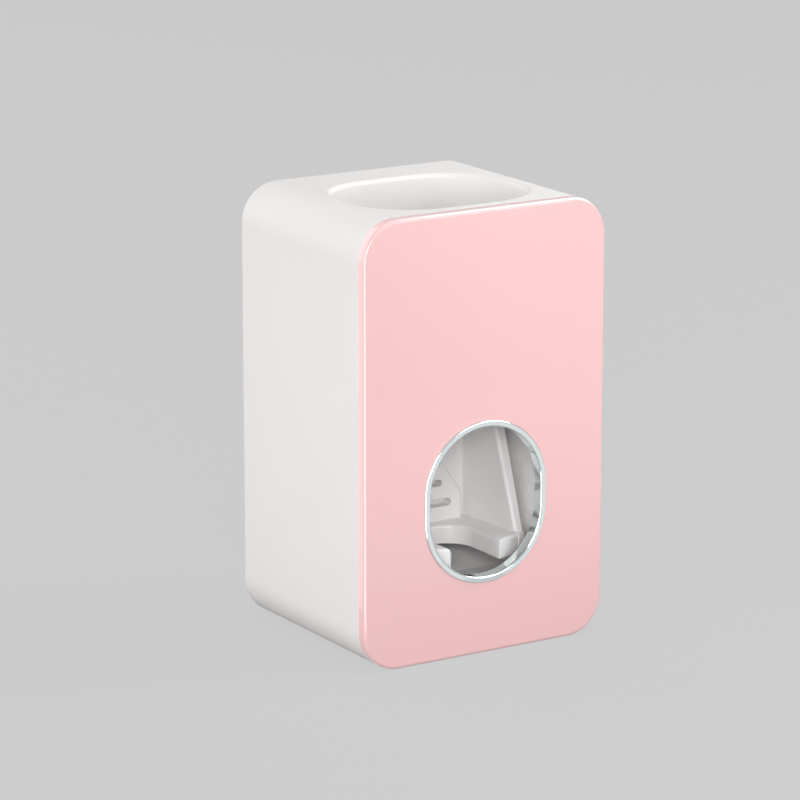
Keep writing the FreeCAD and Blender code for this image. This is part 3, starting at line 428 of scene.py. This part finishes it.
duckbill = pressedDuckbill("outletDuckbill", duckbillLook)
roundEdges(duckbill, duckbillLook["edgeRound"], duckbillLook["roundOver"])
finishPiece(duckbill, "housing", "silicone", "outlet_valve")
print("duckbill made")


# self-tapping screws: pan head, cross recess, thread on a plain core
screwLook = {"head": 2.4, "headHeight": 1.6, "headRound": 0.8, "headRoundSteps": 6, "headSegments": 48,
             "recessHalf": 1.35, "recessWidth": 0.55, "recessDepth": 0.9, "recessFoot": (0.45, 0.8, 1),
             "core": 0.84, "tip": 1.2, "tipShare": 0.35, "threadCrest": 1.03, "threadBite": 1.2,
             "threadSides": 3, "threadSteps": 20, "threadStart": 1.2, "threadRunOut": 1.5, "pitch": 0.8}


def panHeadScrew(name, length):
    look = screwLook
    deselectAll()
    bpy.ops.mesh.primitive_cylinder_add(vertices=look["headSegments"], radius=look["head"] * mm,
                                        depth=look["headHeight"] * mm,
                                        location=(0, 0, look["headHeight"] / 2 * mm))
    screw = newPiece(name)
    pickFaces(screw, facesUp)
    bpy.ops.mesh.bevel(offset=look["headRound"] * mm, segments=look["headRoundSteps"], profile=0.5,
                       affect="EDGES")
    bpy.ops.object.mode_set(mode="OBJECT")
    pickFaces(screw, facesDown)
    bpy.ops.mesh.inset(thickness=(look["head"] - look["core"]) * mm)
    shankDrop = (length - look["tip"]) * mm
    bpy.ops.mesh.extrude_region_move(TRANSFORM_OT_translate={"value": (0, 0, -shankDrop)})
    bpy.ops.mesh.extrude_region_move(TRANSFORM_OT_translate={"value": (0, 0, -look["tip"] * mm)})
    bpy.ops.transform.resize(value=(look["tipShare"], look["tipShare"], 1),
                             center_override=(0, 0, -length * mm))
    bpy.ops.object.mode_set(mode="OBJECT")
    deselectAll()
    bpy.ops.mesh.primitive_cube_add(size=1 * mm, location=(0, 0, look["headHeight"] * mm))
    bpy.ops.transform.resize(value=(2 * look["recessHalf"], look["recessWidth"], 2 * look["recessDepth"]))
    recess = newPiece("recessCutter")
    pickFaces(recess, facesDown)
    bpy.ops.transform.resize(value=look["recessFoot"],
                             center_override=(0, 0, (look["headHeight"] - look["recessDepth"]) * mm))
    bpy.ops.object.mode_set(mode="OBJECT")
    for quarter in (0, 1):
        recess.rotation_euler = (0, 0, quarter * math.pi / 2)
        bpy.context.view_layer.update()
        applyModifier(screw, "BOOLEAN", object=recess, operation="DIFFERENCE", solver="EXACT")
    bpy.data.objects.remove(recess)
    # a three-sided wire makes the thread, and its foot bites into the core
    wire = (look["threadCrest"] - look["core"]) * look["threadBite"]
    turns = int((length - look["tip"] - look["threadRunOut"]) / look["pitch"])
    thread = woundCoil(name + "Thread", "Z", {
        "wireSides": look["threadSides"], "wire": wire, "mean": look["threadCrest"] - wire,
        "start": -look["threadStart"] - turns * look["pitch"], "pitch": look["pitch"], "turns": turns,
        "steps": look["threadSteps"], "height": 0,
    })
    activate(screw)
    thread.select_set(True)
    bpy.ops.object.join()
    return screw


def placeScrews(name, look, nodeName):
    master = panHeadScrew(name, look["length"])
    for index, (x, y) in enumerate(look["places"]):
        activate(master)
        bpy.ops.object.duplicate(linked=False)
        screw = bpy.context.object
        screw.name = name + str(index + 1)
        screw.location = Vector((x, y, look["seat"])) * mm
        bpy.ops.object.transform_apply(location=True, rotation=True, scale=True)
        finishPiece(screw, "housing", "screw_steel", nodeName)
    bpy.data.objects.remove(master)


frameScrewLook = {"length": 10.1, "seat": 18.0,
                  "places": [(x, y) for x in (-31.04, 31.04) for y in (-20.3, 23.7)]}
pumpScrewLook = {"length": 10.0, "seat": 79.5, "places": [(-25.5, -6.8), (25.5, -6.8)]}
placeScrews("frameScrew", frameScrewLook, "frame_screws")
placeScrews("pumpScrew", pumpScrewLook, "pump_screws")
print("screws made")


# stage: one pale sheet of paper, soft light and the camera

stageLook = {"paper": "#8E8E8E", "paperRoughness": 0.9, "paperGlow": "#D9D9D9", "ownLight": 0.80,
             "paperSize": 12.0, "paperDrop": 0.02, "room": "#CECECE", "roomLight": "#FFFFFF",
             "worldLight": 0.30}


# 1 where the camera, a reflection or glass looks at the surface, 0 where it only lights others
def seenDirectly(tree):
    rays = addNode(tree, "ShaderNodeLightPath")
    cameraOrGloss = addNode(tree, "ShaderNodeMath", {"operation": "MAXIMUM"},
                            {0: rays.outputs["Is Camera Ray"], 1: rays.outputs["Is Glossy Ray"]})
    seen = addNode(tree, "ShaderNodeMath", {"operation": "MAXIMUM"},
                   {0: cameraOrGloss.outputs[0], 1: rays.outputs["Is Transmission Ray"]})
    return seen.outputs[0]


paper, paperTree, paperShader = newMaterial("paleBackgroundPaper")
paperShader.inputs["Base Color"].default_value = linearColour(stageLook["paper"])
paperShader.inputs["Roughness"].default_value = stageLook["paperRoughness"]
paperShader.inputs["Specular IOR Level"].default_value = 0.0
paperGlow = addNode(paperTree, "ShaderNodeEmission",
                    {"Color": linearColour(stageLook["paperGlow"]), "Strength": 1.0})
paperShare = addNode(paperTree, "ShaderNodeMath", {"operation": "MULTIPLY", 1: stageLook["ownLight"]},
                     {0: seenDirectly(paperTree)})
paperMix = addNode(paperTree, "ShaderNodeMixShader", None,
                   {0: paperShare.outputs[0], 1: paperShader.outputs[0], 2: paperGlow.outputs[0]})
paperTree.links.new(paperMix.outputs[0], paperTree.nodes["Material Output"].inputs["Surface"])
deselectAll()
bpy.ops.mesh.primitive_plane_add(size=stageLook["paperSize"], location=(0, 0, -stageLook["paperDrop"] * mm))
floor = bpy.context.object
floor.name = "paperFloor"
floor.data.materials.append(paper)

world = bpy.data.worlds.new("softRoom")
bpy.context.scene.world = world
world.use_nodes = True
roomTree = world.node_tree
roomLight = roomTree.nodes["Background"]
roomLight.inputs["Color"].default_value = linearColour(stageLook["roomLight"])
roomLight.inputs["Strength"].default_value = stageLook["worldLight"]
roomSeen = addNode(roomTree, "ShaderNodeBackground",
                   {"Color": linearColour(stageLook["room"]), "Strength": 1.0})
roomMix = addNode(roomTree, "ShaderNodeMixShader", None,
                  {0: seenDirectly(roomTree), 1: roomLight.outputs[0], 2: roomSeen.outputs[0]})
roomTree.links.new(roomMix.outputs[0], roomTree.nodes["World Output"].inputs["Surface"])

lamps = {  # places and sizes in metres; a lamp without an aim looks at lampTarget
    "frontLamp": {"place": (-0.45, -0.785, 0.313), "size": 0.35, "watts": 3.65},
    "nearLamp": {"place": (0.08, -0.20, 0.145), "size": 0.10, "watts": 0.105},
    "leftLamp": {"place": (-1.50, -0.25, 0.35), "size": 0.7, "watts": 8.6},
    "topLamp": {"place": (0.10, 0.05, 1.30), "size": 0.6, "watts": 1.6},
    "rightLamp": {"place": (0.90, -0.30, 1.00), "size": 0.6, "watts": 7.4},
    "backLamp": {"place": (-0.40, 1.20, 0.30), "size": 1.3, "watts": 8.5},
    "cardLamp": {"place": (0.095, -0.186, 0.003), "aim": (0.095, -0.186, 1.0), "size": 0.19,
                 "watts": 0.022},
    # cards that show in reflections only: two for the panel's left edge and one for the rim of the well
    "edgeCard": {"place": (-0.070, -0.0531, 0.060), "aim": (-0.0405, -0.0345, 0.060), "size": 0.037,
                 "height": 0.117, "watts": 0.055, "onlyGloss": True},
    "sideCard": {"place": (-0.0705, 0.05, 0.060), "aim": (0.0, 0.05, 0.060), "size": 0.10,
                 "height": 0.117, "watts": 0.034, "onlyGloss": True},
    "rimCard": {"place": (0.19, 0.01, 0.29), "aim": (-0.02, 0.02, 0.13), "size": 0.20, "watts": 0.70,
                "onlyGloss": True},
}
lampTarget = (0, 0, 0.07)
for lampName, lampLook in lamps.items():
    place = Vector(lampLook["place"])
    aim = Vector(lampLook.get("aim", lampTarget)) - place
    bpy.ops.object.light_add(type="AREA", location=place, rotation=aim.to_track_quat("-Z", "Y").to_euler())
    lamp = bpy.context.object
    lamp.name = lampName
    lamp.data.shape = "RECTANGLE"
    lamp.data.size = lampLook["size"]
    lamp.data.size_y = lampLook.get("height", lampLook["size"])
    lamp.data.energy = lampLook["watts"]
    lamp.visible_diffuse = not lampLook.get("onlyGloss", False)
    lamp.visible_camera = False

# the camera was solved from the outline in the photo, for a square frame; places in millimetres
cameraLook = {"place": (-591.4, -933.3, 346.0), "target": (-4.90, 3.97, 67.35), "lens": 176.55,
              "sensor": 36.0, "clipStart": 10.0}
cameraPlace = Vector(cameraLook["place"]) * mm
cameraAim = Vector(cameraLook["target"]) * mm - cameraPlace
bpy.ops.object.camera_add(location=cameraPlace, rotation=cameraAim.to_track_quat("-Z", "Y").to_euler())
camera = bpy.context.object
camera.name = "photoCamera"
camera.data.lens = cameraLook["lens"]
camera.data.sensor_width = cameraLook["sensor"]
camera.data.clip_start = cameraLook["clipStart"] * mm
camera.data.dof.use_dof = False
bpy.context.scene.camera = camera
bpy.context.scene.view_settings.view_transform = "Standard"
print("stage, light and camera set")
